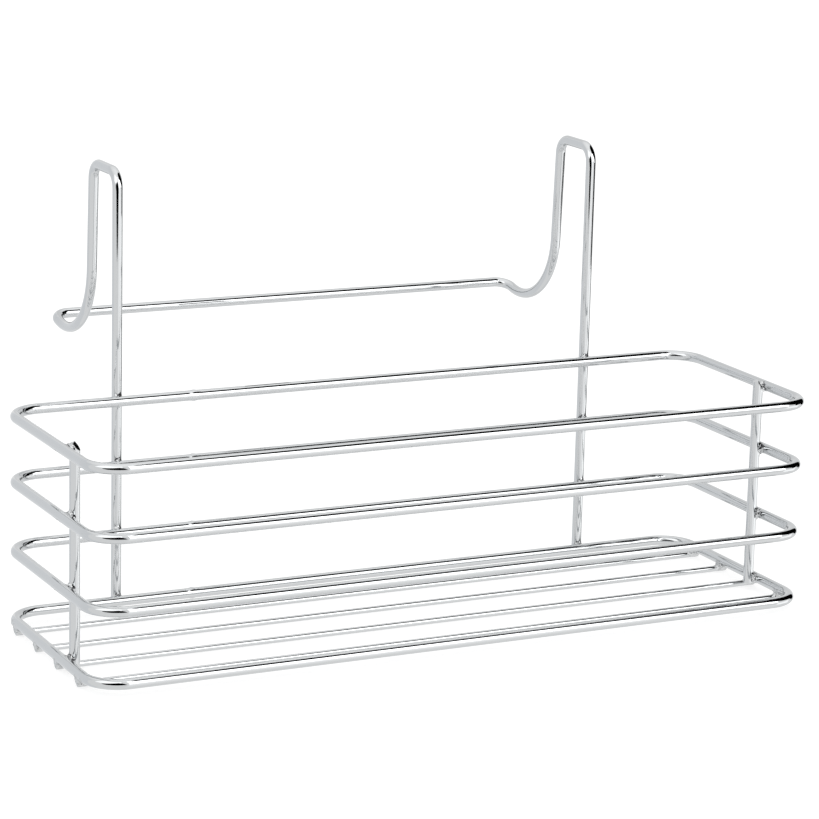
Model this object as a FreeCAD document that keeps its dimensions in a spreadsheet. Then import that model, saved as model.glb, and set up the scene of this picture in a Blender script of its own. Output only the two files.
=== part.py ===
"""Shower caddy: a basket of bent chrome wire that hangs on a shower screen by two hooks.

Four closed wire rings are stacked to make the basket. Two uprights stand inside its ends, four thin
wires make its floor, and one long bent wire, the hanger, rises behind it, folds over into two hooks and
runs across between them. Every crossing is resistance welded.

Frame: millimetres, +X to the right along the basket, +Y backwards towards the screen, +Z up. The origin
is on the ground under the middle of the whole caddy, hooks included.
"""

import FreeCAD, Part
import math
import os
import Sketcher
from FreeCAD import Rotation, Vector

DIMENSIONS = [
    ("basket_length", 300.0, "outside length of every ring"),
    ("basket_depth", 100.0, "outside depth of every ring"),
    ("wire_dia", 4.0, "rings, uprights and hanger"),
    ("floor_wire_dia", 2.3, "floor wires"),
    ("corner_radius", 13.0, "ring corners, on the wire's axis"),
    ("lower_rise", 27.0, "lower ring above the base ring"),
    ("upper_rise", 54.0, "upper ring above the base ring"),
    ("top_rise", 79.4, "top ring above the base ring"),
    ("butt_weld_offset", 72.0, "closing weld of a ring, left of the middle of its back rail"),
    ("butt_weld_width", 1.6, "length of the upset bead along the wire"),
    ("butt_weld_bulge", 0.25, "height of the upset bead above the wire"),
    ("upright_forward", 15.0, "uprights, forward of the middle of the end rails"),
    ("upright_tail", 1.6, "foot of an upright below the base ring's axis"),
    ("upright_head", 2.8, "head of an upright above the top ring's axis"),
    ("upright_chamfer", 0.7, "sheared edge at the head of an upright"),
    ("floor_wire_length", 299.0, "floor wires, just short of the ring's outside"),
    ("floor_wire_pitch", 22.0, "spacing of the floor wires"),
    ("floor_wire_shift", 0.5, "middle of the floor wires, behind the middle of the basket"),
    ("riser_spacing", 204.0, "between the two risers of the hanger"),
    ("riser_tail", 1.8, "foot of a riser below the base ring's axis"),
    ("hook_rise", 167.0, "top of the hooks, axis above the base ring's axis"),
    ("hook_bend_radius", 6.2, "the two bends at the top of a hook, on the axis"),
    ("hook_flat", 13.0, "straight run between those two bends"),
    ("curl_radius", 30.0, "wide curl at the bottom of a hook, on the axis"),
    ("curl_offset", 57.0, "centre of the curl behind the riser"),
    ("curl_rise", 126.6, "centre of the curl above the base ring's axis"),
    ("lip_angle", 13.0, "rise of the lip after the curl, degrees"),
    ("crossbar_offset", 70.0, "crossbar behind the risers"),
    ("crossbar_bend_radius", 6.0, "bend from the lip into the crossbar, on the axis"),
    ("nugget_spread", 2.1, "half width of a weld nugget where two thick wires cross"),
    ("nugget_depth", 1.1, "half depth of a weld nugget towards each wire"),
    ("nugget_core", 0.5, "radius of the pressed contact in the middle of a nugget"),
    ("floor_nugget_along", 1.5, "half width of a floor wire's nugget along that wire"),
    ("floor_nugget_across", 1.4, "half width of a floor wire's nugget across that wire"),
]

RING_RISES = {
    "base_ring": "0",
    "lower_ring": "dims.lower_rise",
    "upper_ring": "dims.upper_rise",
    "top_ring": "dims.top_rise",
}
FLOOR_WIRE_COUNT = 4
WELDS_PER_GROUP = 8  # two ends or risers times four rings, and two ends times four floor wires

# Places that follow from the driving dimensions, as expressions on the sheet.
BASE_HEIGHT = "(dims.floor_wire_dia + dims.wire_dia / 2)"
RING_HALF_LENGTH = "(dims.basket_length - dims.wire_dia) / 2"
RING_HALF_DEPTH = "(dims.basket_depth - dims.wire_dia) / 2"
RISER_BACK = "(dims.basket_depth + dims.wire_dia) / 2"
CROSSBAR_BACK = f"({RISER_BACK} + dims.crossbar_offset)"
BASKET_MIDDLE = f"((dims.basket_depth - dims.wire_dia) / 4 - {CROSSBAR_BACK} / 2)"
UPRIGHT_SIDE = "((dims.basket_length - 3 * dims.wire_dia) / 2)"

UP = Vector(0, 0, 1)


def make_sheet(doc):
    """The driving dimensions, one aliased cell each."""
    sheet = doc.addObject("Spreadsheet::Sheet", "dims")
    for row, (alias, value, note) in enumerate(DIMENSIONS, start=1):
        sheet.set(f"A{row}", alias)
        sheet.set(f"B{row}", str(value))
        sheet.set(f"C{row}", note)
        sheet.setAlias(f"B{row}", alias)
    doc.recompute()
    return sheet


def bind(obj, bindings):
    """Tie each named property of obj to an expression on the sheet."""
    for path, expression in bindings.items():
        obj.setExpression(path, expression)


def make_body(doc, label, side="0", forward_back=BASKET_MIDDLE, height=BASE_HEIGHT):
    """An empty body with its own label, placed by expressions."""
    body = doc.addObject("PartDesign::Body", label)
    body.Label = label
    bind(body, {
        "Placement.Base.x": side,
        "Placement.Base.y": forward_back,
        "Placement.Base.z": height,
    })
    return body


def make_sketch(body, name, role, offset=None):
    """A sketch on one of the body's own origin planes, moved off it by an expression if one is given."""
    sketch = body.newObject("Sketcher::SketchObject", name)
    plane = next(feature for feature in body.Origin.OriginFeatures if feature.Role == role)
    sketch.AttachmentSupport = [(plane, "")]
    sketch.MapMode = "FlatFace"
    if offset:
        sketch.setExpression("AttachmentOffset.Base.z", offset)
    return sketch


def constrain(sketch, kind, *arguments, expression=None):
    """Add a constraint, and bind its value when an expression is given."""
    index = sketch.addConstraint(Sketcher.Constraint(kind, *arguments))
    if expression:
        sketch.setExpression(f"Constraints[{index}]", expression)
    return index


def circle_sketch(body, name, role, radius, across="0", along="0", offset=None):
    """A circle for a wire's section. across and along place its centre on the sketch."""
    sketch = make_sketch(body, name, role, offset)
    sketch.addGeometry(Part.Circle(Vector(1, 1, 0), UP, 1.0))
    constrain(sketch, "Radius", 0, 1.0, expression=radius)
    constrain(sketch, "DistanceX", -1, 1, 0, 3, 1.0, expression=across)
    constrain(sketch, "DistanceY", -1, 1, 0, 3, 1.0, expression=along)
    return sketch


def read(sheet, expression):
    """The number an expression on the sheet stands for, as a starting value for a sketch."""
    return float(sheet.evalExpression(expression))


def arc(centre_x, centre_y, radius, start_degrees, end_degrees):
    """A counter-clockwise arc in sketch coordinates."""
    circle = Part.Circle(Vector(centre_x, centre_y, 0), UP, radius)
    return Part.ArcOfCircle(circle, math.radians(start_degrees), math.radians(end_degrees))


def line(start, end):
    """A straight run in sketch coordinates."""
    return Part.LineSegment(Vector(*start, 0), Vector(*end, 0))


def ring_path(body, sheet):
    """The closed axis of a ring, running counter-clockwise from its closing weld on the back rail."""
    half_length = read(sheet, RING_HALF_LENGTH)
    half_depth = read(sheet, RING_HALF_DEPTH)
    radius = read(sheet, "dims.corner_radius")
    seam = -read(sheet, "dims.butt_weld_offset")
    side = half_length - radius
    end = half_depth - radius

    path = make_sketch(body, f"{body.Label}_path", "XY_Plane")
    path.addGeometry([
        line((seam, half_depth), (-side, half_depth)),
        arc(-side, end, radius, 90, 180),
        line((-half_length, end), (-half_length, -end)),
        arc(-side, -end, radius, 180, 270),
        line((-side, -half_depth), (side, -half_depth)),
        arc(side, -end, radius, 270, 360),
        line((half_length, -end), (half_length, end)),
        arc(side, end, radius, 0, 90),
        line((side, half_depth), (seam, half_depth)),
    ])
    back_left, left, front, right, back_right = 0, 2, 4, 6, 8
    for index in range(back_right):
        constrain(path, "Tangent", index, 2, index + 1, 1)
    constrain(path, "Coincident", back_right, 2, back_left, 1)
    for index in (back_left, front, back_right):
        constrain(path, "Horizontal", index)
    for index in (left, right):
        constrain(path, "Vertical", index)
    for index in (3, 5, 7):
        constrain(path, "Equal", 1, index)
    constrain(path, "Radius", 1, radius, expression="dims.corner_radius")
    constrain(path, "DistanceX", -1, 1, right, 1, half_length, expression=RING_HALF_LENGTH)
    constrain(path, "DistanceX", left, 1, -1, 1, half_length, expression=RING_HALF_LENGTH)
    constrain(path, "DistanceY", -1, 1, back_left, 1, half_depth, expression=RING_HALF_DEPTH)
    constrain(path, "DistanceY", front, 1, -1, 1, half_depth, expression=RING_HALF_DEPTH)
    constrain(path, "DistanceX", back_left, 1, -1, 1, -seam, expression="dims.butt_weld_offset")
    return path


def add_butt_weld(body, sheet):
    """The low bead of upset metal round the wire where the two ends of a ring are welded together."""
    axis_y = read(sheet, RING_HALF_DEPTH)
    middle = -read(sheet, "dims.butt_weld_offset")
    half_width = read(sheet, "dims.butt_weld_width / 2")
    radius = read(sheet, "dims.wire_dia / 2")
    bulge = read(sheet, "dims.butt_weld_bulge")
    surface = axis_y + radius

    bead = make_sketch(body, f"{body.Label}_bead", "XY_Plane")
    crown = Part.Arc(
        Vector(middle + half_width, surface, 0),
        Vector(middle, surface + bulge, 0),
        Vector(middle - half_width, surface, 0),
    )
    bead.addGeometry([
        line((middle - half_width, axis_y), (middle + half_width, axis_y)),
        line((middle + half_width, axis_y), (middle + half_width, surface)),
        crown,
        line((middle - half_width, surface), (middle - half_width, axis_y)),
    ])
    bottom, right, top, left = 0, 1, 2, 3
    constrain(bead, "Coincident", bottom, 2, right, 1)
    constrain(bead, "Coincident", right, 2, top, 1)
    constrain(bead, "Coincident", top, 2, left, 1)
    constrain(bead, "Coincident", left, 2, bottom, 1)
    constrain(bead, "Horizontal", bottom)
    constrain(bead, "Vertical", right)
    constrain(bead, "Vertical", left)
    constrain(bead, "Equal", left, right)
    constrain(bead, "DistanceY", -1, 1, bottom, 1, axis_y, expression=RING_HALF_DEPTH)
    constrain(bead, "DistanceY", right, 1, right, 2, radius, expression="dims.wire_dia / 2")
    constrain(bead, "DistanceX", bottom, 1, bottom, 2, 2 * half_width, expression="dims.butt_weld_width")
    constrain(bead, "DistanceX", bottom, 1, -1, 1, half_width - middle,
              expression="dims.butt_weld_offset + dims.butt_weld_width / 2")
    crown_radius = "(dims.butt_weld_width ^ 2 / 4 + dims.butt_weld_bulge ^ 2) / (2 * dims.butt_weld_bulge)"
    constrain(bead, "Radius", top, crown.toShape().Curve.Radius, expression=crown_radius)

    revolution = body.newObject("PartDesign::Revolution", f"{body.Label}_butt_weld")
    revolution.Profile = bead
    revolution.ReferenceAxis = (bead, ["Edge1"])
    revolution.Angle = 360.0


def make_ring(doc, sheet, label, rise):
    """One closed ring: its wire, and the bead where the wire's two ends meet."""
    body = make_body(doc, label, height=f"{BASE_HEIGHT} + {rise}")
    path = ring_path(body, sheet)
    section = circle_sketch(body, f"{label}_section", "YZ_Plane", "dims.wire_dia / 2",
                            across=RING_HALF_DEPTH, offset="-dims.butt_weld_offset")
    wire = body.newObject("PartDesign::AdditivePipe", f"{label}_wire")
    wire.Profile = section
    wire.Spine = (path, [])
    add_butt_weld(body, sheet)
    return body


def make_upright(doc, label, side):
    """A straight wire inside one end of the basket, its head sheared to a blunt chisel edge."""
    height = f"{BASE_HEIGHT} - dims.upright_tail"
    body = make_body(doc, label, side=f"{side} * {UPRIGHT_SIDE}",
                     forward_back=f"{BASKET_MIDDLE} - dims.upright_forward", height=height)
    section = circle_sketch(body, f"{label}_section", "XY_Plane", "dims.wire_dia / 2")
    wire = body.newObject("PartDesign::Pad", f"{label}_wire")
    wire.Profile = section
    wire.setExpression("Length", "dims.upright_tail + dims.top_rise + dims.upright_head")
    doc.recompute()
    head = max(range(len(wire.Shape.Faces)), key=lambda index: wire.Shape.Faces[index].CenterOfMass.z)
    chamfer = body.newObject("PartDesign::Chamfer", f"{label}_head")
    chamfer.Base = (wire, [f"Face{head + 1}"])
    chamfer.setExpression("Size", "dims.upright_chamfer")
    return body


def make_floor_wire(doc, number):
    """A thin straight wire under the end rails of the base ring. Number 1 is the rearmost."""
    steps_back = (FLOOR_WIRE_COUNT + 1) / 2 - number
    label = f"floor_wire_{number}"
    body = make_body(
        doc, label,
        side="-dims.floor_wire_length / 2",
        forward_back=f"{BASKET_MIDDLE} + dims.floor_wire_shift + {steps_back} * dims.floor_wire_pitch",
        height="dims.floor_wire_dia / 2",
    )
    section = circle_sketch(body, f"{label}_section", "YZ_Plane", "dims.floor_wire_dia / 2")
    wire = body.newObject("PartDesign::Pad", f"{label}_wire")
    wire.Profile = section
    wire.setExpression("Length", "dims.floor_wire_length")
    return body


def hook_path(body, sheet):
    """The axis of the right half of the hanger, from a riser's foot to the end of the lip, in its plane."""
    riser = read(sheet, RISER_BACK)
    foot = -read(sheet, "dims.riser_tail")
    top = read(sheet, "dims.hook_rise")
    bend = read(sheet, "dims.hook_bend_radius")
    flat = read(sheet, "dims.hook_flat")
    curl = read(sheet, "dims.curl_radius")
    curl_y = riser + read(sheet, "dims.curl_offset")
    curl_z = read(sheet, "dims.curl_rise")
    lip = read(sheet, "dims.lip_angle")
    lip_end = read(sheet, f"{CROSSBAR_BACK} - dims.crossbar_bend_radius * cos(dims.lip_angle * 1 deg)")

    # The leg is the common tangent of the rear top bend, turned clockwise, and the curl, turned
    # counter-clockwise: its lean follows from their centres and radii.
    front_bend_y = riser + bend
    bend_y = front_bend_y + flat
    bend_z = top - bend
    reach = math.hypot(curl_y - bend_y, bend_z - curl_z)
    bearing = math.degrees(math.atan2(curl_z - bend_z, curl_y - bend_y))
    lean = bearing + math.degrees(math.acos((bend + curl) / reach))

    def on_circle(centre_y, centre_z, radius, degrees):
        angle = math.radians(degrees)
        return centre_y + radius * math.cos(angle), centre_z + radius * math.sin(angle)

    leg_top = on_circle(bend_y, bend_z, bend, lean)
    leg_foot = on_circle(curl_y, curl_z, curl, lean + 180)
    lip_start = on_circle(curl_y, curl_z, curl, 270 + lip)
    lip_end_z = lip_start[1] + (lip_end - lip_start[0]) * math.tan(math.radians(lip))

    path = make_sketch(body, "hook_path", "YZ_Plane", offset="dims.riser_spacing / 2")
    path.addGeometry([
        line((riser, foot), (riser, bend_z)),
        arc(front_bend_y, bend_z, bend, 90, 180),
        line((front_bend_y, top), (bend_y, top)),
        arc(bend_y, bend_z, bend, lean, 90),
        line(leg_top, leg_foot),
        arc(curl_y, curl_z, curl, lean + 180, 270 + lip),
        line(lip_start, (lip_end, lip_end_z)),
    ])
    riser_run, front_bend, top_run, rear_bend, leg, wide_curl, lip_run = range(7)
    constrain(path, "Tangent", riser_run, 2, front_bend, 2)
    constrain(path, "Tangent", front_bend, 1, top_run, 1)
    constrain(path, "Tangent", top_run, 2, rear_bend, 2)
    constrain(path, "Tangent", rear_bend, 1, leg, 1)
    constrain(path, "Tangent", leg, 2, wide_curl, 1)
    constrain(path, "Tangent", wide_curl, 2, lip_run, 1)
    constrain(path, "Vertical", riser_run)
    constrain(path, "Horizontal", top_run)
    constrain(path, "Equal", front_bend, rear_bend)
    constrain(path, "Radius", front_bend, bend, expression="dims.hook_bend_radius")
    constrain(path, "Radius", wide_curl, curl, expression="dims.curl_radius")
    constrain(path, "DistanceX", -1, 1, riser_run, 1, riser, expression=RISER_BACK)
    constrain(path, "DistanceY", riser_run, 1, -1, 1, -foot, expression="dims.riser_tail")
    constrain(path, "DistanceY", -1, 1, top_run, 1, top, expression="dims.hook_rise")
    constrain(path, "DistanceX", top_run, 1, top_run, 2, flat, expression="dims.hook_flat")
    constrain(path, "DistanceX", -1, 1, wide_curl, 3, curl_y, expression=f"{RISER_BACK} + dims.curl_offset")
    constrain(path, "DistanceY", -1, 1, wide_curl, 3, curl_z, expression="dims.curl_rise")
    constrain(path, "Angle", -1, 1, lip_run, 1, math.radians(lip), expression="dims.lip_angle * 1 deg")
    constrain(path, "DistanceX", -1, 1, lip_run, 2, lip_end,
              expression=f"{CROSSBAR_BACK} - dims.crossbar_bend_radius * cos(dims.lip_angle * 1 deg)")
    return path


def crossbar_rise():
    """Height of the crossbar's axis above the base ring's, as an expression."""
    curl_end = "(dims.curl_rise - dims.curl_radius * cos(dims.lip_angle * 1 deg))"
    beyond = ("(dims.crossbar_offset - dims.curl_offset"
              " - dims.curl_radius * sin(dims.lip_angle * 1 deg))")
    return f"{curl_end} + {beyond} * tan(dims.lip_angle * 1 deg)"


def make_hanger(doc, sheet):
    """One bent wire: riser, hook, curl and lip on each side, joined by the crossbar."""
    body = make_body(doc, "hanger")
    side = "dims.riser_spacing / 2"
    bend_side = f"{side} - dims.crossbar_bend_radius"

    path = hook_path(body, sheet)
    foot = circle_sketch(body, "riser_section", "XY_Plane", "dims.wire_dia / 2",
                         across=side, along=RISER_BACK, offset="-dims.riser_tail")
    hook = body.newObject("PartDesign::AdditivePipe", "hook_wire")
    hook.Profile = foot
    hook.Spine = (path, [])

    elbow_section = circle_sketch(body, "elbow_section", "YZ_Plane", "dims.wire_dia / 2",
                                  across=CROSSBAR_BACK, along=crossbar_rise(), offset=bend_side)
    pivot_y = read(sheet, f"{CROSSBAR_BACK} - dims.crossbar_bend_radius * cos(dims.lip_angle * 1 deg)")
    pivot_z = read(sheet, f"{crossbar_rise()} - dims.crossbar_bend_radius * sin(dims.lip_angle * 1 deg)")
    lip = math.radians(read(sheet, "dims.lip_angle"))
    pivot = elbow_section.addGeometry(
        line((pivot_y, pivot_z), (pivot_y - math.sin(lip), pivot_z + math.cos(lip))), True)
    constrain(elbow_section, "DistanceX", pivot, 1, 0, 3, 1.0,
              expression="dims.crossbar_bend_radius * cos(dims.lip_angle * 1 deg)")
    constrain(elbow_section, "DistanceY", pivot, 1, 0, 3, 1.0,
              expression="dims.crossbar_bend_radius * sin(dims.lip_angle * 1 deg)")
    constrain(elbow_section, "Distance", pivot, 1.0)
    constrain(elbow_section, "Angle", -1, 1, pivot, 1, lip + math.pi / 2,
              expression="dims.lip_angle * 1 deg + 90 deg")
    elbow = body.newObject("PartDesign::Revolution", "elbow")
    elbow.Profile = elbow_section
    elbow.ReferenceAxis = (elbow_section, ["Axis0"])
    elbow.Angle = 90.0
    elbow.Reversed = True

    crossbar_section = circle_sketch(body, "crossbar_section", "YZ_Plane", "dims.wire_dia / 2",
                                     across=CROSSBAR_BACK, along=crossbar_rise())
    crossbar = body.newObject("PartDesign::Pad", "crossbar")
    crossbar.Profile = crossbar_section
    crossbar.setExpression("Length", bend_side)

    mirrored = body.newObject("PartDesign::Mirrored", "both_sides")
    mirrored.Originals = [hook, elbow, crossbar]
    mirror_plane = next(feature for feature in body.Origin.OriginFeatures if feature.Role == "YZ_Plane")
    mirrored.MirrorPlane = (mirror_plane, [""])
    mirrored.Refine = True
    body.Tip = mirrored
    return body


def weld_nuggets(doc, label, crossings, thin_axis, wires, spreads=("dims.nugget_spread",) * 2):
    """One flattened nugget at each crossing, cut back to the wires that it joins.

    A crossing is three expressions for the point where the two wires touch. thin_axis is the direction
    from one wire to the other. The pressed contact in the middle of each nugget is left open.
    """
    depth = "dims.nugget_depth"
    blanks = []
    cores = []
    for number, place in enumerate(crossings, start=1):
        position = dict(zip(("Placement.Base.x", "Placement.Base.y", "Placement.Base.z"), place))
        blank = doc.addObject("Part::Ellipsoid", f"{label}_blank_{number}")
        blank.Angle1 = -90.0
        blank.Angle2 = 90.0
        blank.Angle3 = 360.0
        blank.Placement.Rotation = Rotation(UP, thin_axis)
        bind(blank, {"Radius1": depth, "Radius2": spreads[0], "Radius3": spreads[1], **position})
        blanks.append(blank)

        core = doc.addObject("Part::Cylinder", f"{label}_core_{number}")
        core.Placement.Rotation = Rotation(UP, thin_axis)
        start = {path: f"{middle} - {component} * {depth}"
                 for (path, middle), component in zip(position.items(), thin_axis)}
        bind(core, {"Radius": "dims.nugget_core", "Height": f"2 * {depth}", **start})
        cores.append(core)

    nuggets = doc.addObject("Part::Compound", f"{label}_blanks")
    nuggets.Links = blanks
    drilled = doc.addObject("Part::Compound", f"{label}_cores")
    drilled.Links = cores
    for number, tool in enumerate([drilled, *wires], start=1):
        cut = doc.addObject("Part::Cut", f"{label}_cut_{number}")
        cut.Base = nuggets
        cut.Tool = tool
        nuggets = cut
    nuggets.Label = label
    return nuggets


def make_riser_welds(doc, hanger, rings):
    """The two risers welded to the back rail of every ring."""
    crossings = [
        (f"{side} * dims.riser_spacing / 2", f"{BASKET_MIDDLE} + dims.basket_depth / 2",
         f"{BASE_HEIGHT} + {rise}")
        for side in (-1, 1)
        for rise in RING_RISES.values()
    ]
    return weld_nuggets(doc, "riser_welds", crossings, Vector(0, 1, 0), [hanger, *rings])


def make_upright_welds(doc, uprights, rings):
    """The two uprights welded to the end rail of every ring."""
    inner_face = "(dims.basket_length / 2 - dims.wire_dia)"
    crossings = [
        (f"{side} * {inner_face}", f"{BASKET_MIDDLE} - dims.upright_forward", f"{BASE_HEIGHT} + {rise}")
        for side in (-1, 1)
        for rise in RING_RISES.values()
    ]
    return weld_nuggets(doc, "upright_welds", crossings, Vector(1, 0, 0), [*uprights, *rings])


def make_floor_welds(doc, floor_wires, base_ring):
    """Both ends of every floor wire welded under the end rails of the base ring."""
    crossings = [
        (f"{side} * {RING_HALF_LENGTH}",
         f"{BASKET_MIDDLE} + dims.floor_wire_shift + {step - (FLOOR_WIRE_COUNT - 1) / 2}"
         " * dims.floor_wire_pitch",
         "dims.floor_wire_dia")
        for side in (-1, 1)
        for step in range(FLOOR_WIRE_COUNT)
    ]
    return weld_nuggets(doc, "floor_welds", crossings, UP, [*floor_wires, base_ring],
                        spreads=("dims.floor_nugget_along", "dims.floor_nugget_across"))


def make_caddy(doc):
    """Every sub-part of the caddy, in the order in which it is put together."""
    sheet = make_sheet(doc)
    rings = [make_ring(doc, sheet, label, rise) for label, rise in RING_RISES.items()]
    uprights = [make_upright(doc, "upright_left", -1), make_upright(doc, "upright_right", 1)]
    floor_wires = [make_floor_wire(doc, number + 1) for number in range(FLOOR_WIRE_COUNT)]
    hanger = make_hanger(doc, sheet)
    doc.recompute()
    welds = [
        make_riser_welds(doc, hanger, rings),
        make_upright_welds(doc, uprights, rings),
        make_floor_welds(doc, floor_wires, rings[0]),
    ]
    doc.recompute()
    return [*rings, *uprights, *floor_wires, hanger, *welds]


def check(doc, parts):
    """Stop on a failed object, or on a sub-part with no sound shape or the wrong number of solids."""
    for obj in doc.Objects:
        if "Invalid" in obj.State or "Error" in obj.State:
            raise RuntimeError(f"{obj.Label} failed: {obj.State}")
    for part in parts:
        shape = part.Shape
        wanted = WELDS_PER_GROUP if part.Label.endswith("_welds") else 1
        if shape.isNull() or not shape.isValid() or len(shape.Solids) != wanted:
            raise RuntimeError(f"{part.Label} is not {wanted} valid solid(s)")


def main():
    doc = FreeCAD.newDocument("shower_caddy")
    parts = make_caddy(doc)
    check(doc, parts)
    os.makedirs("parts", exist_ok=True)
    for part in parts:
        part.Shape.exportStep(f"parts/{part.Label}.step")
        box = part.Shape.optimalBoundingBox()
        print(f"{part.Label}: {len(part.Shape.Solids)} solid(s), {part.Shape.Volume:.1f} mm3, "
              f"x {box.XMin:.2f}..{box.XMax:.2f}, y {box.YMin:.2f}..{box.YMax:.2f}, "
              f"z {box.ZMin:.2f}..{box.ZMax:.2f}")


main()
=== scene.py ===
"""Shower caddy: fine bent wires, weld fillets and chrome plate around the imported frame.

Everything is in metres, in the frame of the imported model: +X right, +Y back towards the screen, +Z up.
"""

import math

import bmesh
import bpy
import numpy as np
from mathutils import Matrix, Vector


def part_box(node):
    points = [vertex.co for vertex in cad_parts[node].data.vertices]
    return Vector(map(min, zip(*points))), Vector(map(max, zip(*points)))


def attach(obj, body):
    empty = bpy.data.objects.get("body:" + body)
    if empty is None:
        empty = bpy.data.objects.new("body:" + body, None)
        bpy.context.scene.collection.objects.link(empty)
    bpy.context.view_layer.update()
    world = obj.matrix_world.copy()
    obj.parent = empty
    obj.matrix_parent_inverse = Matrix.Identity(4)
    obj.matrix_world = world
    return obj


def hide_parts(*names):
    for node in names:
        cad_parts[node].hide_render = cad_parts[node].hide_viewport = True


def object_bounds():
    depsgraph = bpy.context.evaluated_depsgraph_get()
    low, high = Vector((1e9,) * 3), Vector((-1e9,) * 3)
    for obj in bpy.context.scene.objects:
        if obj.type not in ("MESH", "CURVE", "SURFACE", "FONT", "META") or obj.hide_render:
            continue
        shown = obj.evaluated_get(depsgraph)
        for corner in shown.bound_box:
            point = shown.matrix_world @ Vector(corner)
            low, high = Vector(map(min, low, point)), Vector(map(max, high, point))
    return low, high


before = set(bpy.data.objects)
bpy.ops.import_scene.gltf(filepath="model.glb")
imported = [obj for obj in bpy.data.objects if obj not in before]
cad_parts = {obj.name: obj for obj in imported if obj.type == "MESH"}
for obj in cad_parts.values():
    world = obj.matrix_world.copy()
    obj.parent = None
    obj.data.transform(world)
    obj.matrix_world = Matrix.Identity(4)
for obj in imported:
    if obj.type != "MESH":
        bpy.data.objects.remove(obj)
cad_low, cad_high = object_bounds()

MM = 0.001
X_AXIS, Y_AXIS, Z_AXIS = np.eye(3)

# ---- sizes the boxes of the frame don't give -------------------------------------------------------

# All radii and places of bends are those of the wire's axis.
CORNER_RADIUS = 13.0 * MM           # corners of the rings
BUTT_WELD_X = -72.0 * MM            # closing weld on the back rail of each ring
BUTT_WELD_HALF_WIDTH = 0.9 * MM
BUTT_WELD_BULGE = 0.25 * MM
HOOK_BEND_RADIUS = 6.2 * MM         # the two bends at the top of a hook
HOOK_FLAT = 13.0 * MM               # level stretch between them
CURL_RADIUS = 30.0 * MM             # the wide curl at a hook's foot
CURL_BEHIND_RISER = 57.0 * MM
CURL_ABOVE_BASE_RING = 126.6 * MM
LIP_ANGLE = math.radians(13.0)      # rise of the lip between curl and crossbar
CROSSBAR_BEND_RADIUS = 6.0 * MM

END_ROUNDING = 0.25 * MM            # worn edge of a sheared wire end
HEAD_CUTS = (                       # normals of the two cuts that shear an upright's head
    Vector((-0.22, 0.10, 0.97)).normalized(),
    Vector((0.61, -0.43, 0.66)).normalized(),
)
HEAD_RIDGE = Vector((-0.47, 0.16, -0.42)) * MM      # where the cuts meet, from the middle of the top

# A weld's blend is how far the fillet spreads over its two wires, and its reach is the farthest that
# weld metal lies from the point where they touch.
RISER_WELD_BLEND = 1.8 * MM
RISER_WELD_REACH = 3.6 * MM
UPRIGHT_WELD_BLEND = 2.1 * MM
UPRIGHT_WELD_REACH = 3.8 * MM
FLOOR_WELD_BLEND = 3.0 * MM
FLOOR_WELD_REACH = 5.0 * MM
WELD_LUMP_SIZE = 1.2 * MM
WELD_LUMP_HEIGHT = 0.16 * MM
LUMP_WAVES = 6
WELD_INSET = 0.02 * MM              # how far inside a bare wire the weld's mesh runs
UPRIGHT_WELD_END_INSET = 0.1 * MM   # the same at the ends of the wires
FLOOR_WELD_END_INSET = 0.05 * MM

# ---- fineness of the meshes ------------------------------------------------------------------------

AROUND = 40                         # faces round a wire
STEP = 1.5 * MM                     # spacing of a straight wire's rings of faces
TURN_STEP = 0.6 * STEP              # the same in a bend
LEAST_STRAIGHT_STEPS = 2
LEAST_TURN_STEPS = 8
END_RINGS = 5                       # rings of faces on a worn end
SHARP_EDGE = math.radians(30)       # edges that turn by more are shaded sharp
WELD_SUBDIVISIONS = 5
WELD_HALVINGS = 22                  # steps of the search for a weld's surface

# ---- places read from the frame --------------------------------------------------------------------

upright_low, upright_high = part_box("upright_left")
hanger_low, hanger_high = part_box("hanger")

WIRE = (upright_high.x - upright_low.x) / 2
RAIL_X = cad_high.x - WIRE
RAIL_FRONT = cad_low.y + WIRE
RAIL_BACK = hanger_low.y - WIRE
RAIL_MIDDLE = (RAIL_FRONT + RAIL_BACK) / 2

RING_NODES = ("base_ring", "lower_ring", "upper_ring", "top_ring")
UPRIGHT_NODES = ("upright_left", "upright_right")
FLOOR_NODES = ("floor_wire_1", "floor_wire_2", "floor_wire_3", "floor_wire_4")


def middle(node):
    """Centre of a node's box."""
    low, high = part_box(node)
    return (low + high) / 2


RING_HEIGHTS = {node: middle(node).z for node in RING_NODES}
RISER_X = hanger_high.x - WIRE
RISER_Y = hanger_low.y + WIRE
HOOK_TOP = hanger_high.z - WIRE
CROSSBAR_Y = hanger_high.y - WIRE


# ---- paths -----------------------------------------------------------------------------------------

def straight(start, end):
    """Points from start up to, and not including, end."""
    start, end = np.array(start, float), np.array(end, float)
    count = max(LEAST_STRAIGHT_STEPS, math.ceil(np.linalg.norm(end - start) / STEP))
    return [start + (end - start) * i / count for i in range(count)]


def turn(centre, along, across, radius, start, end):
    """Points of an arc in the plane of two unit vectors, up to and not including its end."""
    centre, along, across = (np.array(v, float) for v in (centre, along, across))
    count = max(LEAST_TURN_STEPS, math.ceil(abs(end - start) * radius / TURN_STEP))
    angles = (start + (end - start) * i / count for i in range(count))
    return [centre + radius * (along * math.cos(a) + across * math.sin(a)) for a in angles]


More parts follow.
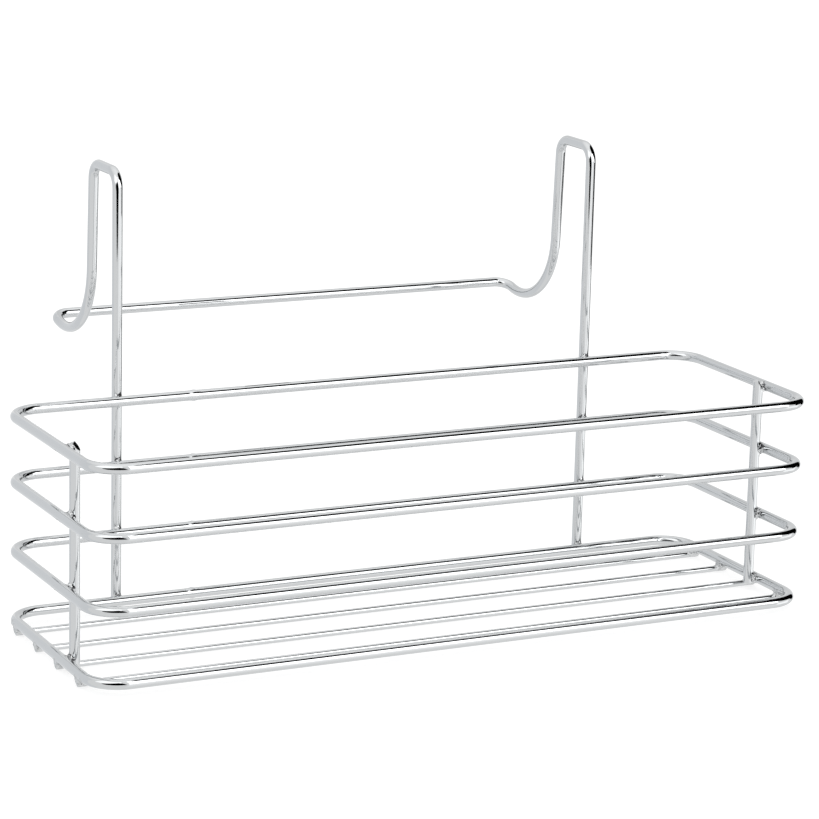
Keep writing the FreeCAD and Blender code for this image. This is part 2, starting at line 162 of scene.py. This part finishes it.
def ring_path(height):
    """Closed axis of a ring, counter-clockwise from its butt weld on the back rail."""
    side = RAIL_X - CORNER_RADIUS
    back = RAIL_BACK - CORNER_RADIUS
    front = RAIL_FRONT + CORNER_RADIUS
    points = straight((BUTT_WELD_X, RAIL_BACK, height), (-side, RAIL_BACK, height))
    points += turn((-side, back, height), X_AXIS, Y_AXIS, CORNER_RADIUS, math.pi / 2, math.pi)
    points += straight((-RAIL_X, back, height), (-RAIL_X, front, height))
    points += turn((-side, front, height), X_AXIS, Y_AXIS, CORNER_RADIUS, math.pi, 1.5 * math.pi)
    points += straight((-side, RAIL_FRONT, height), (side, RAIL_FRONT, height))
    points += turn((side, front, height), X_AXIS, Y_AXIS, CORNER_RADIUS, 1.5 * math.pi, 2 * math.pi)
    points += straight((RAIL_X, front, height), (RAIL_X, back, height))
    points += turn((side, back, height), X_AXIS, Y_AXIS, CORNER_RADIUS, 0, math.pi / 2)
    points += straight((side, RAIL_BACK, height), (BUTT_WELD_X, RAIL_BACK, height))
    return np.array(points)


def half_hanger_path():
    """Axis of the right half of the hanger, from the riser's foot almost to the crossbar's middle."""
    bend_z = HOOK_TOP - HOOK_BEND_RADIUS
    front_bend_y = RISER_Y + HOOK_BEND_RADIUS
    rear_bend_y = front_bend_y + HOOK_FLAT
    curl_y = RISER_Y + CURL_BEHIND_RISER
    curl_z = RING_HEIGHTS["base_ring"] + CURL_ABOVE_BASE_RING

    # The leg is the common tangent of the rear bend and the curl, which turn opposite ways.
    reach = math.hypot(curl_y - rear_bend_y, bend_z - curl_z)
    bearing = math.atan2(curl_z - bend_z, curl_y - rear_bend_y)
    lean = bearing + math.acos((HOOK_BEND_RADIUS + CURL_RADIUS) / reach)
    leg_way = np.array((0, math.cos(lean), math.sin(lean)))

    curl_end = 1.5 * math.pi + LIP_ANGLE
    lip_start_y = curl_y + CURL_RADIUS * math.cos(curl_end)
    lip_start_z = curl_z + CURL_RADIUS * math.sin(curl_end)
    lip_end_y = CROSSBAR_Y - CROSSBAR_BEND_RADIUS * math.cos(LIP_ANGLE)
    lip_end_z = lip_start_z + (lip_end_y - lip_start_y) * math.tan(LIP_ANGLE)
    lip_way = (0, math.cos(LIP_ANGLE), math.sin(LIP_ANGLE))
    crossbar_x = RISER_X - CROSSBAR_BEND_RADIUS
    crossbar_z = lip_end_z + CROSSBAR_BEND_RADIUS * math.sin(LIP_ANGLE)

    front_bend = np.array((RISER_X, front_bend_y, bend_z))
    rear_bend = np.array((RISER_X, rear_bend_y, bend_z))
    curl = np.array((RISER_X, curl_y, curl_z))
    points = straight((RISER_X, RISER_Y, hanger_low.z), (RISER_X, RISER_Y, bend_z))
    points += turn(front_bend, Y_AXIS, Z_AXIS, HOOK_BEND_RADIUS, math.pi, math.pi / 2)
    points += straight((RISER_X, front_bend_y, HOOK_TOP), (RISER_X, rear_bend_y, HOOK_TOP))
    points += turn(rear_bend, Y_AXIS, Z_AXIS, HOOK_BEND_RADIUS, math.pi / 2, lean)
    points += straight(rear_bend + HOOK_BEND_RADIUS * leg_way, curl - CURL_RADIUS * leg_way)
    points += turn(curl, Y_AXIS, Z_AXIS, CURL_RADIUS, math.pi + lean, curl_end)
    points += straight((RISER_X, lip_start_y, lip_start_z), (RISER_X, lip_end_y, lip_end_z))
    last_bend = (crossbar_x, lip_end_y, lip_end_z)
    points += turn(last_bend, X_AXIS, lip_way, CROSSBAR_BEND_RADIUS, 0, math.pi / 2)
    points += straight((crossbar_x, CROSSBAR_Y, crossbar_z), (0, CROSSBAR_Y, crossbar_z))
    return np.array(points)


def hanger_path():
    """Axis of the whole hanger, from the right riser's foot to the left one's."""
    right = half_hanger_path()
    left = right[::-1] * (-1, 1, 1)
    top = right[-1] * (0, 1, 1)
    return np.vstack([right, top, left])


# ---- wires -----------------------------------------------------------------------------------------

def parallel_frames(points, closed):
    """Two unit vectors across the path at every point, carried along it without twist."""
    if closed:
        tangents = np.roll(points, -1, axis=0) - np.roll(points, 1, axis=0)
    else:
        tangents = np.gradient(points, axis=0)
    tangents /= np.linalg.norm(tangents, axis=1, keepdims=True)
    first = np.cross(tangents[0], Z_AXIS)
    starts_upright = np.linalg.norm(first) < 0.1
    if starts_upright:
        first = np.cross(tangents[0], Y_AXIS)
    normal = first / np.linalg.norm(first)
    normals = []
    for tangent in tangents:
        normal = normal - tangent * normal.dot(tangent)
        normal = normal / np.linalg.norm(normal)
        normals.append(normal)
    normals = np.array(normals)
    return normals, np.cross(tangents, normals)


def new_object(name, vertices, faces, uvs=None):
    """A smooth-shaded mesh object in the scene."""
    mesh = bpy.data.meshes.new(name)
    mesh.from_pydata([tuple(v) for v in vertices], [], faces)
    if uvs is not None:
        layer = mesh.uv_layers.new(name="wire")
        layer.data.foreach_set("uv", np.array(uvs, dtype=np.float32).ravel())
    mesh.validate()
    mesh.shade_smooth()
    obj = bpy.data.objects.new(name, mesh)
    bpy.context.collection.objects.link(obj)
    return obj


def tube_faces(count, closed, reached):
    """Faces of a tube of count rings, and the length along and share round the wire at each corner."""
    faces = []
    uvs = []
    for i in range(count if closed else count - 1):
        after = (i + 1) % count
        for j in range(AROUND):
            beside = (j + 1) % AROUND
            faces.append((i * AROUND + j, i * AROUND + beside, after * AROUND + beside, after * AROUND + j))
            low, high = j / AROUND, (j + 1) / AROUND
            uvs += [(reached[i], low), (reached[i], high), (reached[i + 1], high), (reached[i + 1], low)]
    if not closed:
        faces.append(tuple(reversed(range(AROUND))))
        faces.append(tuple(range((count - 1) * AROUND, count * AROUND)))
        uvs += [(0, j / AROUND) for j in reversed(range(AROUND))]
        uvs += [(reached[count - 1], j / AROUND) for j in range(AROUND)]
    return faces, uvs


def tube(name, points, radius, closed=False):
    """A round wire along points. radius is one number or one per point. Open ends are worn round."""
    points = np.array(points)
    radii = np.broadcast_to(np.array(radius, float), len(points)).copy()
    if not closed:
        points, radii = add_worn_ends(points, radii)
    across, upward = parallel_frames(points, closed)
    angles = np.linspace(0, 2 * math.pi, AROUND, endpoint=False)
    circle = (across[:, None] * np.cos(angles)[None, :, None]
              + upward[:, None] * np.sin(angles)[None, :, None])
    vertices = (points[:, None] + circle * radii[:, None, None]).reshape(-1, 3)

    steps = np.linalg.norm(np.diff(points, axis=0, append=points[:1]), axis=1)
    reached = np.concatenate([[0], np.cumsum(steps)])
    faces, uvs = tube_faces(len(points), closed, reached)
    return new_object(name, vertices, faces, uvs)


def add_worn_ends(points, radii):
    """Replace each end of a path by a few close points whose radius shrinks towards the very end."""
    turn_steps = np.linspace(math.pi / 2, 0, END_RINGS)
    inset = END_ROUNDING * (1 - np.cos(turn_steps))     # from the full radius
    depth = END_ROUNDING * (1 - np.sin(turn_steps))     # from the very end
    start_way = (points[1] - points[0]) / np.linalg.norm(points[1] - points[0])
    end_way = (points[-2] - points[-1]) / np.linalg.norm(points[-2] - points[-1])
    starts = [points[0] + start_way * d for d in depth]
    ends = [points[-1] + end_way * d for d in depth[::-1]]
    new_points = np.vstack([starts, points[1:-1], ends])
    new_radii = np.concatenate([radii[0] - inset, radii[1:-1], radii[-1] - inset[::-1]])
    return new_points, new_radii


def make_ring(node):
    """One closed ring with the low bead of its butt weld."""
    points = ring_path(RING_HEIGHTS[node])
    from_weld = np.abs(points[:, 0] - BUTT_WELD_X)
    on_back_rail = np.abs(points[:, 1] - RAIL_BACK) < WIRE
    bead = np.where(on_back_rail, np.exp(-(from_weld / BUTT_WELD_HALF_WIDTH) ** 2), 0.0)
    return tube(f"{node}_wire", points, WIRE + BUTT_WELD_BULGE * bead, closed=True)


def shear(piece, point, normal):
    """Cut a wire off flat at a plane; the part the normal points to is dropped."""
    mesh = bmesh.new()
    mesh.from_mesh(piece.data)
    everything = mesh.verts[:] + mesh.edges[:] + mesh.faces[:]
    cut = bmesh.ops.bisect_plane(mesh, geom=everything, plane_co=point, plane_no=normal, clear_outer=True)
    rim = [part for part in cut["geom_cut"] if isinstance(part, bmesh.types.BMEdge)]
    bmesh.ops.edgeloop_fill(mesh, edges=rim)
    mesh.to_mesh(piece.data)
    mesh.free()


def head_peak(node):
    """Point on an upright's head where its two cuts meet."""
    centre = middle(node)
    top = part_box(node)[1].z
    return Vector((centre.x, centre.y, top)) + HEAD_RIDGE


def make_upright(node):
    """A straight upright whose head is sheared by two cuts, one almost level and one steep."""
    low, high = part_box(node)
    centre = middle(node)
    points = straight((centre.x, centre.y, low.z), (centre.x, centre.y, high.z + WIRE))
    upright = tube(f"{node}_wire", points, WIRE)
    for normal in HEAD_CUTS:
        shear(upright, head_peak(node), normal)
    upright.data.set_sharp_from_angle(angle=SHARP_EDGE)
    return upright


def make_floor_wire(node):
    """A thin straight wire under the basket."""
    low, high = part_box(node)
    centre = middle(node)
    end = (high.x, centre.y, centre.z)
    points = straight((low.x, centre.y, centre.z), end) + [np.array(end)]
    return tube(f"{node}_wire", points, (high.z - low.z) / 2)


# ---- welds -----------------------------------------------------------------------------------------

def lumps(points, size, seed):
    """Smooth pseudo-random values from about -1 to 1, as a sum of turned and ever finer sine waves."""
    rng = np.random.default_rng(seed)
    total = np.zeros(len(points))
    for wave in range(LUMP_WAVES):
        way = rng.normal(size=3)
        way /= np.linalg.norm(way)
        phase = rng.uniform(0, 6.3)
        fineness = 1 + 0.3 * wave
        total += np.sin(points @ way * 2 * math.pi / size * fineness + phase)
    return total / (LUMP_WAVES / 2)


def rod_distance(points, centre, axis, radius, half_length=None, cuts=()):
    """Signed distance to a round rod, endless or cut off square at half_length.

    Each further cut is a point and a unit normal; what lies on the normal's side is gone.
    """
    offset = points - centre
    along = offset @ axis
    distance = np.linalg.norm(offset - along[:, None] * axis, axis=1) - radius
    if half_length is not None:
        beyond = np.abs(along) - half_length
        outside = np.hypot(np.maximum(distance, 0), np.maximum(beyond, 0))
        distance = outside + np.minimum(np.maximum(distance, beyond), 0)
    for point, normal in cuts:
        distance = np.maximum(distance, (points - point) @ normal)
    return distance


def fillet_vertices(contact, rod_a, rod_b, blend, reach, seed):
    """A ball round the contact point, shrunk onto the two rods and the lumpy fillet between them.

    Away from the fillet the mesh runs a hair inside the wires, so only the fillet shows.
    """
    ball = bmesh.new()
    bmesh.ops.create_icosphere(ball, subdivisions=WELD_SUBDIVISIONS, radius=1.0)
    ways = np.array([v.co[:] for v in ball.verts])
    faces = [tuple(v.index for v in face.verts) for face in ball.faces]
    ball.free()

    def distance(scale):
        """Signed distance from each point, scale away from the contact, to the weld's surface."""
        points = contact + ways * scale[:, None]
        a = rod_distance(points, *rod_a)
        b = rod_distance(points, *rod_b)
        mix = np.maximum(blend - np.abs(a - b), 0) / blend
        rough = lumps(points, WELD_LUMP_SIZE, seed) * WELD_LUMP_HEIGHT * mix
        return np.minimum(a, b) - mix ** 2 * blend / 4 + WELD_INSET + rough

    low = np.zeros(len(ways))
    high = np.full(len(ways), reach)
    inside_all_the_way = distance(high) <= 0
    for _ in range(WELD_HALVINGS):
        half = (low + high) / 2
        inside = distance(half) <= 0
        low = np.where(inside, half, low)
        high = np.where(inside, high, half)
    scale = np.where(inside_all_the_way, reach, low)
    return contact + ways * scale[:, None], faces


def make_weld_group(name, crossings, blend, reach):
    """All the fillets of one kind of weld as one object, kept inside the CAD box.

    A crossing is its contact point and its two rods, each a tuple of what rod_distance takes.
    """
    vertices = []
    faces = []
    for seed, (contact, rod_a, rod_b) in enumerate(crossings):
        new_vertices, new_faces = fillet_vertices(np.array(contact), rod_a, rod_b, blend, reach, seed)
        offset = sum(len(group) for group in vertices)
        vertices.append(new_vertices)
        faces += [tuple(index + offset for index in face) for face in new_faces]
    return new_object(name, np.clip(np.vstack(vertices), cad_low, cad_high), faces)


def make_riser_welds():
    """Risers on the back rails."""
    foot = hanger_low.z
    middle_z = (foot + HOOK_TOP) / 2
    crossings = []
    for side in (-1, 1):
        x = side * RISER_X
        riser = (np.array((x, RISER_Y, middle_z)), Z_AXIS, WIRE, middle_z - foot)
        for height in RING_HEIGHTS.values():
            rail = (np.array((x, RAIL_BACK, height)), X_AXIS, WIRE)
            crossings.append(((x, RAIL_BACK + WIRE, height), rail, riser))
    return make_weld_group("riser_weld_fillets", crossings, RISER_WELD_BLEND, RISER_WELD_REACH)


def make_upright_welds():
    """Uprights inside the end rails."""
    crossings = []
    for node, side in zip(UPRIGHT_NODES, (-1, 1)):
        low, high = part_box(node)
        centre = np.array(middle(node))
        half_length = (high.z - low.z) / 2 - UPRIGHT_WELD_END_INSET
        cuts = [(np.array(head_peak(node)), np.array(normal)) for normal in HEAD_CUTS]
        upright = (centre, Z_AXIS, WIRE, half_length, cuts)
        for height in RING_HEIGHTS.values():
            rail = (np.array((side * RAIL_X, centre[1], height)), Y_AXIS, WIRE)
            crossings.append(((side * (RAIL_X - WIRE), centre[1], height), rail, upright))
    return make_weld_group("upright_weld_fillets", crossings, UPRIGHT_WELD_BLEND, UPRIGHT_WELD_REACH)


def make_floor_welds():
    """Floor wires under the end rails of the base ring."""
    base = RING_HEIGHTS["base_ring"]
    crossings = []
    for node in FLOOR_NODES:
        low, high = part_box(node)
        centre = np.array(middle(node))
        half_length = (high.x - low.x) / 2 - FLOOR_WELD_END_INSET
        wire = (centre, X_AXIS, (high.z - low.z) / 2, half_length)
        for side in (-1, 1):
            rail = (np.array((side * RAIL_X, centre[1], base)), Y_AXIS, WIRE)
            crossings.append(((side * RAIL_X, centre[1], high.z), rail, wire))
    return make_weld_group("floor_weld_fillets", crossings, FLOOR_WELD_BLEND, FLOOR_WELD_REACH)


# ---- materials -------------------------------------------------------------------------------------

CHROME_COLOR = (0.600, 0.613, 0.621)
PLATED_WELD_COLOR = (0.60, 0.61, 0.615)
# Painted reflection: the two spot colours below are painted into the welds' chrome to stand in for the dark
# reflections of their mottled surface. They are near black on the riser and upright welds and dimmer on the
# floor welds.
PAINTED_DARK_SPOT_COLOR = (0.07, 0.07, 0.075)
PAINTED_DIM_SPOT_COLOR = (0.48, 0.49, 0.495)
DRAW_MARKS = (60.0, 9.0, 1.0)       # noise cells along a metre of wire, and round it
NOISE_MIDDLE = (0.3, 0.7)           # where nearly all of a noise's values lie


def new_metal(name, base_color, roughness):
    """A metal with its average colour and roughness on the shader's own sockets."""
    material = bpy.data.materials.new(name)
    material.use_nodes = True
    shader = material.node_tree.nodes["Principled BSDF"]
    shader.inputs["Base Color"].default_value = (*base_color, 1.0)
    shader.inputs["Metallic"].default_value = 1.0
    shader.inputs["Roughness"].default_value = roughness
    return material, material.node_tree, shader


def noise(tree, vector, scale, detail=3.0):
    """A noise texture read at vector."""
    node = tree.nodes.new("ShaderNodeTexNoise")
    node.inputs["Scale"].default_value = scale
    node.inputs["Detail"].default_value = detail
    tree.links.new(vector, node.inputs["Vector"])
    return node.outputs["Fac"]


def object_place(tree):
    """The point on the piece's own surface, in metres."""
    return tree.nodes.new("ShaderNodeTexCoord").outputs["Object"]


def map_range(tree, value, low, high, source=NOISE_MIDDLE):
    """Stretch a source range of a value, else the middle of a noise, to the range from low to high."""
    node = tree.nodes.new("ShaderNodeMapRange")
    node.inputs["From Min"].default_value = source[0]
    node.inputs["From Max"].default_value = source[1]
    node.inputs["To Min"].default_value = low
    node.inputs["To Max"].default_value = high
    tree.links.new(value, node.inputs["Value"])
    return node.outputs["Result"]


def mix_colors(tree, factor, color_a, color_b):
    """Fade from colour a to colour b as the factor rises from 0 to 1."""
    node = tree.nodes.new("ShaderNodeMix")
    node.data_type = "RGBA"
    node.inputs["A"].default_value = (*color_a, 1.0)
    node.inputs["B"].default_value = (*color_b, 1.0)
    tree.links.new(factor, node.inputs["Factor"])
    return node.outputs["Result"]


def bump(tree, height, depth, strength, previous=None):
    """A bump of the given depth in metres, on top of an earlier one."""
    node = tree.nodes.new("ShaderNodeBump")
    node.inputs["Distance"].default_value = depth
    node.inputs["Strength"].default_value = strength
    tree.links.new(height, node.inputs["Height"])
    if previous:
        tree.links.new(previous, node.inputs["Normal"])
    return node.outputs["Normal"]


def chrome_plate():
    """Bright chrome on drawn wire: long faint draw marks, a soft orange peel and uneven gloss."""
    material, tree, shader = new_metal("chrome_plate", CHROME_COLOR, roughness=0.06)
    along = tree.nodes.new("ShaderNodeUVMap")
    along.uv_map = "wire"
    stretch = tree.nodes.new("ShaderNodeMapping")
    stretch.inputs["Scale"].default_value = DRAW_MARKS
    tree.links.new(along.outputs["UV"], stretch.inputs["Vector"])
    place = object_place(tree)

    draw_marks = noise(tree, stretch.outputs["Vector"], scale=1.0, detail=4.0)
    peel = noise(tree, place, scale=450.0, detail=2.0)
    gloss = map_range(tree, noise(tree, place, scale=130.0), 0.03, 0.08)
    tree.links.new(gloss, shader.inputs["Roughness"])
    normal = bump(tree, draw_marks, depth=0.02 * MM, strength=0.16)
    normal = bump(tree, peel, depth=0.01 * MM, strength=0.12, previous=normal)
    tree.links.new(normal, shader.inputs["Normal"])
    return material


def plated_weld(name, painted_spot_color):
    """Chrome over the lumpy surface of a resistance weld, with small spots of painted dark reflection in
    another colour.
    """
    material, tree, shader = new_metal(name, PLATED_WELD_COLOR, roughness=0.12)
    place = object_place(tree)
    coarse = noise(tree, place, scale=900.0)
    fine = noise(tree, place, scale=3200.0, detail=2.0)
    normal = bump(tree, coarse, depth=0.16 * MM, strength=0.8)
    normal = bump(tree, fine, depth=0.03 * MM, strength=0.5, previous=normal)
    tree.links.new(normal, shader.inputs["Normal"])
    tree.links.new(map_range(tree, coarse, 0.04, 0.16), shader.inputs["Roughness"])

    # Painted reflection: patches of this noise turn the weld's colour to the painted spot colour.
    patches = noise(tree, place, scale=700.0, detail=2.0)
    outside_painted_spots = map_range(tree, patches, 0.0, 1.0, source=(0.42, 0.50))
    color = mix_colors(tree, outside_painted_spots, painted_spot_color, PLATED_WELD_COLOR)
    tree.links.new(color, shader.inputs["Base Color"])
    return material


# ---- studio ----------------------------------------------------------------------------------------

STUDIO_CENTRE = Vector((0.0, RAIL_MIDDLE, (cad_low.z + cad_high.z) / 2))
STUDIO_RADIUS = 1.0
LAYER = 0.02 * STUDIO_RADIUS        # gap between cards that lie one in front of another
RIGHT_BAR_DISTANCE = 0.335
LEFT_BAR_DISTANCE = 0.09
CARD_STEPS = 12                     # faces between two sections of a card
CARD_POINTS_ACROSS = 13

WHITE = (1.0, 1.0, 1.0)
LEFT_WALL_TINT = (0.90, 0.915, 0.935)
RIGHT_WALL_TINT = (0.87, 0.875, 0.88)
FLOOR_SIZE = 8.0
FLOOR_GREYS = ((0.42, 0.42, 0.42), (0.44, 0.44, 0.44))
FLOOR_GLOW = 0.70

# A dark gap's outline: pairs of (azimuth, elevation) at its two long edges, in degrees.
LEFT_DARK_GAP = (
    ((-66, 4), (-66, 12)),
    ((-56, -4.5), (-54, 22)),
    ((-43, -7.2), (-40, 30)),
    ((-27, -7.9), (-27, 38)),
    ((-13, -7.2), (-16, 30)),
    ((-3, -5), (-10, 18)),
)
RIGHT_DARK_GAP = (
    ((98, -14), (112, -14)),
    ((90, 0), (117, 8)),
    ((78, 8), (120, 20)),
    ((62, 18), (124, 32)),
    ((50, 28), (118, 42)),
    ((46, 35), (110, 50)),
    ((45, 40), (104, 55)),
    ((44, 43), (102, 58)),
    ((39, 44), (105, 63)),
    ((34, 45), (100, 66)),
    ((29, 44), (86, 69)),
    ((24, 45), (70, 71)),
    ((21, 50), (60, 73)),
    ((15, 53), (44, 73)),
)


def direction(azimuth, elevation):
    """Unit vector from two angles in degrees. Azimuth 0 is in front of the caddy, 90 on its right."""
    a, e = math.radians(azimuth), math.radians(elevation)
    return Vector((math.sin(a) * math.cos(e), -math.cos(a) * math.cos(e), math.sin(e)))


def glow(name, radiance, top_radiance, z_range, tint):
    """A surface that shines evenly, or that fades from radiance at its foot to top_radiance at its top."""
    material = bpy.data.materials.new(name)
    material.use_nodes = True
    tree = material.node_tree
    tree.nodes.clear()
    emission = tree.nodes.new("ShaderNodeEmission")
    emission.inputs["Color"].default_value = (*tint, 1.0)
    emission.inputs["Strength"].default_value = radiance
    output = tree.nodes.new("ShaderNodeOutputMaterial")
    tree.links.new(emission.outputs["Emission"], output.inputs["Surface"])
    if top_radiance is not None:
        height = tree.nodes.new("ShaderNodeSeparateXYZ")
        tree.links.new(object_place(tree), height.inputs["Vector"])
        fade = map_range(tree, height.outputs["Z"], radiance, top_radiance, source=z_range)
        tree.links.new(fade, emission.inputs["Strength"])
    return material


def studio_card(name, sections, radiance, top_radiance=None, layer=0, tint=WHITE, distance=STUDIO_RADIUS):
    """A curved card on the studio's dome, or nearer, seen only as a reflection in the chrome.

    Each section is a pair of directions, (azimuth, elevation), at the card's two long edges.
    """
    distance -= layer * LAYER
    spots = np.array(sections, float)
    along = np.linspace(0, len(spots) - 1, CARD_STEPS * (len(spots) - 1) + 1)
    before = np.minimum(along.astype(int), len(spots) - 2)
    part = (along - before)[:, None, None]
    edges = spots[before] * (1 - part) + spots[before + 1] * part
    points = []
    for low, high in edges:
        for share in np.linspace(0, 1, CARD_POINTS_ACROSS):
            points.append(STUDIO_CENTRE + direction(*(low + (high - low) * share)) * distance)
    faces = []
    for i in range(len(edges) - 1):
        for j in range(CARD_POINTS_ACROSS - 1):
            corner = i * CARD_POINTS_ACROSS + j
            beyond = corner + CARD_POINTS_ACROSS
            faces.append((corner, corner + 1, beyond + 1, beyond))
    card = new_object(name, points, faces)
    heights = [point.z for point in points]
    card.data.materials.append(glow(name, radiance, top_radiance, (min(heights), max(heights)), tint))
    card.visible_camera = False
    card.visible_diffuse = False
    card.visible_shadow = False


def patch(left, right, foot, top):
    """Sections of a card between two azimuths and two elevations, in degrees."""
    return [((left, foot), (left, top)), ((right, foot), (right, top))]


def make_dome():
    """Bright cards and the dark gaps between them, which draw the bright and dark lines in the chrome.

    The two near bars show in the right edge of the right riser and in the left upright's sheared head.
    """
    overhead = [((azimuth, 38), (azimuth, 89)) for azimuth in (0, 180, 360)]
    table_glow = [((-20, -80), (0, -24)), ((90, -80), (60, -24))]
    table_sheen = [((42, -24), (44, 1)), ((84, -24), (84, 1))]
    front_softbox = [((4, 7), (3, 60)), ((46, 7), (66, 60))]
    left_softbox = [((-88, 20), (-85, 60)), ((-16, 20), (-20, 60))]

    studio_card("left_wall", patch(-175, -104, -60, 75), 1.0, tint=LEFT_WALL_TINT)
    studio_card("right_wall", patch(104, 178, -60, 75), 1.0, tint=RIGHT_WALL_TINT)
    studio_card("ceiling", overhead, 1.0, top_radiance=1.27, layer=1)
    studio_card("table_glow", table_glow, 0.97, top_radiance=1.17, layer=2)
    studio_card("table_glare", patch(1, 34, -24, 7), 1.17, top_radiance=1.55, layer=2)
    studio_card("table_sheen", table_sheen, 1.60, top_radiance=1.40, layer=2)
    studio_card("front_softbox", front_softbox, 3.0, layer=2)
    studio_card("left_softbox", left_softbox, 1.7, layer=3)
    studio_card("left_dark_gap", LEFT_DARK_GAP, 0.0, layer=4)
    studio_card("right_dark_gap", RIGHT_DARK_GAP, 0.0, layer=4)
    studio_card("right_near_bar", patch(70, 95, -2, 10), 0.0, distance=RIGHT_BAR_DISTANCE)
    studio_card("left_near_bar", patch(-173, -158, 15, 28), 0.0, distance=LEFT_BAR_DISTANCE)


def make_floor():
    """A plain pale floor, slightly lit from within, so that the contact shadow stays faint."""
    bpy.ops.mesh.primitive_plane_add(size=FLOOR_SIZE, location=(0, 0, 0))
    floor = bpy.context.object
    floor.name = "studio_floor"
    material = bpy.data.materials.new("pale_floor")
    material.use_nodes = True
    tree = material.node_tree
    shader = tree.nodes["Principled BSDF"]
    grain = noise(tree, object_place(tree), scale=60.0)
    tree.links.new(mix_colors(tree, grain, *FLOOR_GREYS), shader.inputs["Base Color"])
    shader.inputs["Roughness"].default_value = 0.9
    shader.inputs["Specular IOR Level"].default_value = 0.0
    shader.inputs["Emission Color"].default_value = (*WHITE, 1.0)
    shader.inputs["Emission Strength"].default_value = FLOOR_GLOW
    floor.data.materials.append(material)
    floor.visible_glossy = False


def make_world():
    """An even white room."""
    world = bpy.data.worlds.new("white_room")
    bpy.context.scene.world = world
    world.use_nodes = True
    background = world.node_tree.nodes["Background"]
    background.inputs["Color"].default_value = (*WHITE, 1.0)
    background.inputs["Strength"].default_value = 1.0
    bpy.context.scene.view_settings.view_transform = "Standard"


# ---- camera ----------------------------------------------------------------------------------------

SENSOR_WIDTH = 36.0                 # millimetres, as the lens
LENS = 144.13
CAMERA_TURN = math.radians(26.44)   # from straight ahead towards the caddy's right end
CAMERA_DIP = math.radians(13.51)
CAMERA_ROLL = -0.02561              # radians
CAMERA_LEFT = 0.54476               # of the caddy's middle
CAMERA_IN_FRONT = 1.09000           # of the middle of the basket's depth
CAMERA_ABOVE = 0.37132              # the base ring


def make_camera():
    """Camera at the product shot's angle: from the front left, a little above."""
    data = bpy.data.cameras.new("camera")
    data.sensor_width = SENSOR_WIDTH
    data.lens = LENS
    camera = bpy.data.objects.new("camera", data)
    bpy.context.collection.objects.link(camera)

    forward = Vector((math.sin(CAMERA_TURN) * math.cos(CAMERA_DIP),
                      math.cos(CAMERA_TURN) * math.cos(CAMERA_DIP),
                      -math.sin(CAMERA_DIP)))
    level_right = Vector((math.cos(CAMERA_TURN), -math.sin(CAMERA_TURN), 0.0))
    level_down = forward.cross(level_right)
    right = level_right * math.cos(CAMERA_ROLL) + level_down * math.sin(CAMERA_ROLL)
    down = level_down * math.cos(CAMERA_ROLL) - level_right * math.sin(CAMERA_ROLL)
    turned = Matrix((right, -down, -forward)).transposed()
    eye = Vector((-CAMERA_LEFT, RAIL_MIDDLE - CAMERA_IN_FRONT, RING_HEIGHTS["base_ring"] + CAMERA_ABOVE))
    camera.matrix_world = Matrix.Translation(eye) @ turned.to_4x4()
    bpy.context.scene.camera = camera


# ---- the caddy -------------------------------------------------------------------------------------

def finish_piece(piece, material, node):
    """Give a piece its material and its place in the model."""
    piece.data.materials.append(material)
    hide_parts(node)
    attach(piece, "root")


def make_caddy():
    """Every wire and every kind of weld, each in the place of its CAD node."""
    chrome = chrome_plate()
    # The welds' chrome carries spots of painted dark reflection. They are near black on the risers and
    # uprights, and dimmer on the floor wires.
    weld_with_painted_spots = plated_weld("plated_weld_painted_dark_spots", PAINTED_DARK_SPOT_COLOR)
    floor_weld = plated_weld("plated_floor_weld", PAINTED_DIM_SPOT_COLOR)
    for node in RING_NODES:
        finish_piece(make_ring(node), chrome, node)
    for node in UPRIGHT_NODES:
        finish_piece(make_upright(node), chrome, node)
    for node in FLOOR_NODES:
        finish_piece(make_floor_wire(node), chrome, node)
    finish_piece(tube("hanger_wire", hanger_path(), WIRE), chrome, "hanger")
    finish_piece(make_riser_welds(), weld_with_painted_spots, "riser_welds")
    finish_piece(make_upright_welds(), weld_with_painted_spots, "upright_welds")
    finish_piece(make_floor_welds(), floor_weld, "floor_welds")


make_caddy()
make_floor()
make_world()
make_dome()
make_camera()
